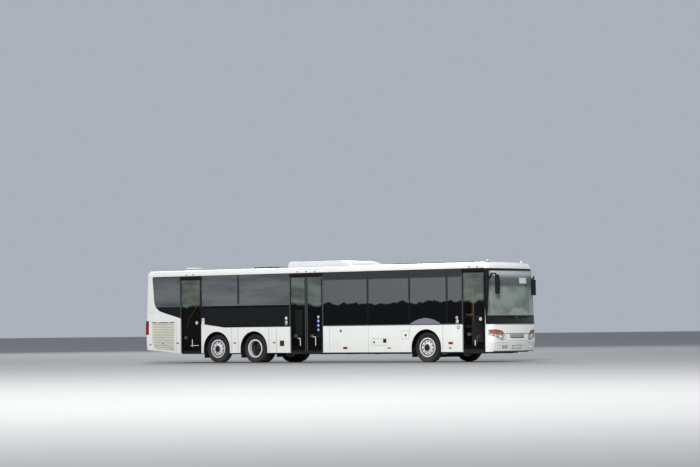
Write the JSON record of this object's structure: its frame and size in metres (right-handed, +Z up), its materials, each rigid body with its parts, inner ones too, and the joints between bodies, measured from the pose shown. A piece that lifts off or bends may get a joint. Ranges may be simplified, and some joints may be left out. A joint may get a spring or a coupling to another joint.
{
  "type": "three-axle low-entry city bus",
  "caption": "Long white low-entry city bus on three axles, with a dark window band, outward-swinging doors on the right, roof cooling unit, steered front and tag wheels.",
  "frame": {"origin": "on the road under the middle of the bus's length over its mirrors and of its width", "axes": "+X forward, +Y to the bus's left, +Z up"},
  "size_m": [14.7179, 2.55, 3.3499],
  "materials": {
    "white_paint": "gloss",
    "black_paint": "gloss",
    "dark_glass": "gloss",
    "clear_glass": "gloss",
    "lamp_glass": "gloss",
    "red_lens": "gloss",
    "tyre_rubber": "matte",
    "wheel_silver": "satin",
    "chassis_steel": "matte",
    "floor_vinyl": "matte",
    "seat_fabric": "matte",
    "rail_yellow": "gloss",
    "grille_beige": "matte",
    "black_plastic": "matte",
    "roof_white": "satin"
  },
  "bodies": {
    "body": {"floor": "floor_vinyl", "wheel_housings": "floor_vinyl", "underframe": "chassis_steel", "left_skirt_panels": "white_paint", "right_skirt_panels": "white_paint", "left_window_frame": "black_paint", "right_window_frame": "black_paint", "roof": "white_paint", "front_mask": "white_paint", "rear_mask": "white_paint", "windscreen": "clear_glass", "windows": "dark_glass", "roof_air_conditioner": "roof_white", "roof_hatches": "black_plastic", "roof_ventilator": "roof_white", "headlamps": "lamp_glass", "tail_lamps": "red_lens", "mirrors": "black_plastic", "wipers": "black_plastic", "dashboard": "black_plastic", "driver_seat": "seat_fabric", "passenger_seats": "seat_fabric", "handrails": "rail_yellow", "engine": "chassis_steel", "radiator": "black_plastic", "front_axle": "chassis_steel", "drive_axle": "chassis_steel", "tag_axle": "chassis_steel"},
    "front_left_steering": {"front_knuckle_left": "chassis_steel"},
    "tag_left_steering": {"tag_knuckle_left": "chassis_steel"},
    "front_left_wheel": {"front_tyre_left": "tyre_rubber", "front_rim_left": "wheel_silver"},
    "drive_left_wheel": {"drive_tyre_left": "tyre_rubber", "drive_rim_left": "wheel_silver"},
    "tag_left_wheel": {"tag_tyre_left": "tyre_rubber", "tag_rim_left": "wheel_silver"},
    "front_right_steering": {"front_knuckle_right": "chassis_steel"},
    "tag_right_steering": {"tag_knuckle_right": "chassis_steel"},
    "front_right_wheel": {"front_tyre_right": "tyre_rubber", "front_rim_right": "wheel_silver"},
    "drive_right_wheel": {"drive_tyre_right": "tyre_rubber", "drive_rim_right": "wheel_silver"},
    "tag_right_wheel": {"tag_tyre_right": "tyre_rubber", "tag_rim_right": "wheel_silver"},
    "tie_rod": {"front_tie_rod": "chassis_steel"},
    "steering_wheel": {"steering_wheel": "black_plastic"},
    "front_door_arms": {"front_door_arm": "black_paint"},
    "front_door": {"front_door_leaf": "black_paint", "front_door_glass": "dark_glass"},
    "middle_door_front_arms": {"middle_door_front_arm": "black_paint"},
    "middle_door_front": {"middle_door_front_leaf": "black_paint", "middle_door_front_glass": "dark_glass"},
    "middle_door_rear_arms": {"middle_door_rear_arm": "black_paint"},
    "middle_door_rear": {"middle_door_rear_leaf": "black_paint", "middle_door_rear_glass": "dark_glass"},
    "rear_door_arms": {"rear_door_arm": "black_paint"},
    "rear_door": {"rear_door_leaf": "black_paint", "rear_door_glass": "dark_glass"},
    "engine_hatch": {"engine_hatch": "white_paint"},
    "radiator_flap": {"radiator_flap": "grille_beige"}
  },
  "joints": [
    {"name": "front_left_steer", "type": "hinge", "parent": "body", "child": "front_left_steering", "pos_m": [4.67, 1, 0.478], "axis": [0, 0, 1], "range_deg": [-40, 40]},
    {"name": "front_right_steer", "type": "hinge", "parent": "body", "child": "front_right_steering", "pos_m": [4.67, -1, 0.478], "axis": [0, 0, 1], "range_deg": [-40, 40]},
    {"name": "tag_left_steer", "type": "hinge", "parent": "body", "child": "tag_left_steering", "pos_m": [-4.08, 1, 0.478], "axis": [0, 0, 1], "range_deg": [-14, 14]},
    {"name": "tag_right_steer", "type": "hinge", "parent": "body", "child": "tag_right_steering", "pos_m": [-4.08, -1, 0.478], "axis": [0, 0, 1], "range_deg": [-14, 14]},
    {"name": "tie_rod_joint", "type": "hinge", "parent": "front_left_steering", "child": "tie_rod", "pos_m": [4.45, 0.915, 0.24], "axis": [0, 0, 1], "range_deg": [-43, 43]},
    {"name": "steering_wheel_turn", "type": "hinge", "parent": "body", "child": "steering_wheel", "pos_m": [6.52, 0.7, 1.23], "axis": [-0.5, 0, 0.866], "range_deg": [-720, 720]},
    {"name": "front_left_wheel_spin", "type": "hinge", "parent": "front_left_steering", "child": "front_left_wheel", "pos_m": [4.67, 1.0975, 0.478], "axis": [0, 1, 0], "continuous": true},
    {"name": "drive_left_wheel_spin", "type": "hinge", "parent": "body", "child": "drive_left_wheel", "pos_m": [-2.45, 0.9375, 0.478], "axis": [0, 1, 0], "continuous": true},
    {"name": "tag_left_wheel_spin", "type": "hinge", "parent": "tag_left_steering", "child": "tag_left_wheel", "pos_m": [-4.08, 1.0975, 0.478], "axis": [0, 1, 0], "continuous": true},
    {"name": "front_right_wheel_spin", "type": "hinge", "parent": "front_right_steering", "child": "front_right_wheel", "pos_m": [4.67, -1.0975, 0.478], "axis": [0, 1, 0], "continuous": true},
    {"name": "drive_right_wheel_spin", "type": "hinge", "parent": "body", "child": "drive_right_wheel", "pos_m": [-2.45, -0.9375, 0.478], "axis": [0, 1, 0], "continuous": true},
    {"name": "tag_right_wheel_spin", "type": "hinge", "parent": "tag_right_steering", "child": "tag_right_wheel", "pos_m": [-4.08, -1.0975, 0.478], "axis": [0, 1, 0], "continuous": true},
    {"name": "front_door_swing", "type": "hinge", "parent": "body", "child": "front_door_arms", "pos_m": [6.89, -1.125, 1.6], "axis": [0, 0, 1], "range_deg": [0, 140]},
    {"name": "front_door_leaf_pivot", "type": "hinge", "parent": "front_door_arms", "child": "front_door", "pos_m": [6.5215, -1.175, 1.6], "axis": [0, 0, 1], "range_deg": [-140, 0]},
    {"name": "middle_door_front_swing", "type": "hinge", "parent": "body", "child": "middle_door_front_arms", "pos_m": [0.427, -1.125, 1.6], "axis": [0, 0, 1], "range_deg": [0, 130]},
    {"name": "middle_door_front_leaf_pivot", "type": "hinge", "parent": "middle_door_front_arms", "child": "middle_door_front", "pos_m": [0.1375, -1.175, 1.6], "axis": [0, 0, 1], "range_deg": [-130, 0]},
    {"name": "middle_door_rear_swing", "type": "hinge", "parent": "body", "child": "middle_door_rear_arms", "pos_m": [-0.817, -1.125, 1.6], "axis": [0, 0, -1], "range_deg": [0, 130]},
    {"name": "middle_door_rear_leaf_pivot", "type": "hinge", "parent": "middle_door_rear_arms", "child": "middle_door_rear", "pos_m": [-0.5275, -1.175, 1.6], "axis": [0, 0, -1], "range_deg": [-130, 0]},
    {"name": "rear_door_swing", "type": "hinge", "parent": "body", "child": "rear_door_arms", "pos_m": [-4.826, -1.125, 1.6], "axis": [0, 0, 1], "range_deg": [0, 140]},
    {"name": "rear_door_leaf_pivot", "type": "hinge", "parent": "rear_door_arms", "child": "rear_door", "pos_m": [-5.229, -1.175, 1.6], "axis": [0, 0, 1], "range_deg": [-140, 0]},
    {"name": "engine_hatch_lift", "type": "hinge", "parent": "body", "child": "engine_hatch", "pos_m": [-7.3424, 0, 1.461], "axis": [0, 1, 0], "range_deg": [0, 80]},
    {"name": "radiator_flap_lift", "type": "hinge", "parent": "body", "child": "radiator_flap", "pos_m": [-6.5, -1.269, 1.391], "axis": [-1, 0, 0], "range_deg": [0, 80]}
  ],
  "couplings": [
    {"joint": "front_right_steer", "follows": "front_left_steer", "ratio": 1},
    {"joint": "tag_left_steer", "follows": "front_left_steer", "ratio": -0.35},
    {"joint": "tag_right_steer", "follows": "front_left_steer", "ratio": -0.35},
    {"joint": "tie_rod_joint", "follows": "front_left_steer", "ratio": -1.07},
    {"joint": "steering_wheel_turn", "follows": "front_left_steer", "ratio": 18},
    {"joint": "front_door_leaf_pivot", "follows": "front_door_swing", "ratio": -1},
    {"joint": "middle_door_front_leaf_pivot", "follows": "middle_door_front_swing", "ratio": -1},
    {"joint": "middle_door_rear_leaf_pivot", "follows": "middle_door_rear_swing", "ratio": -1},
    {"joint": "rear_door_leaf_pivot", "follows": "rear_door_swing", "ratio": -1}
  ]
}
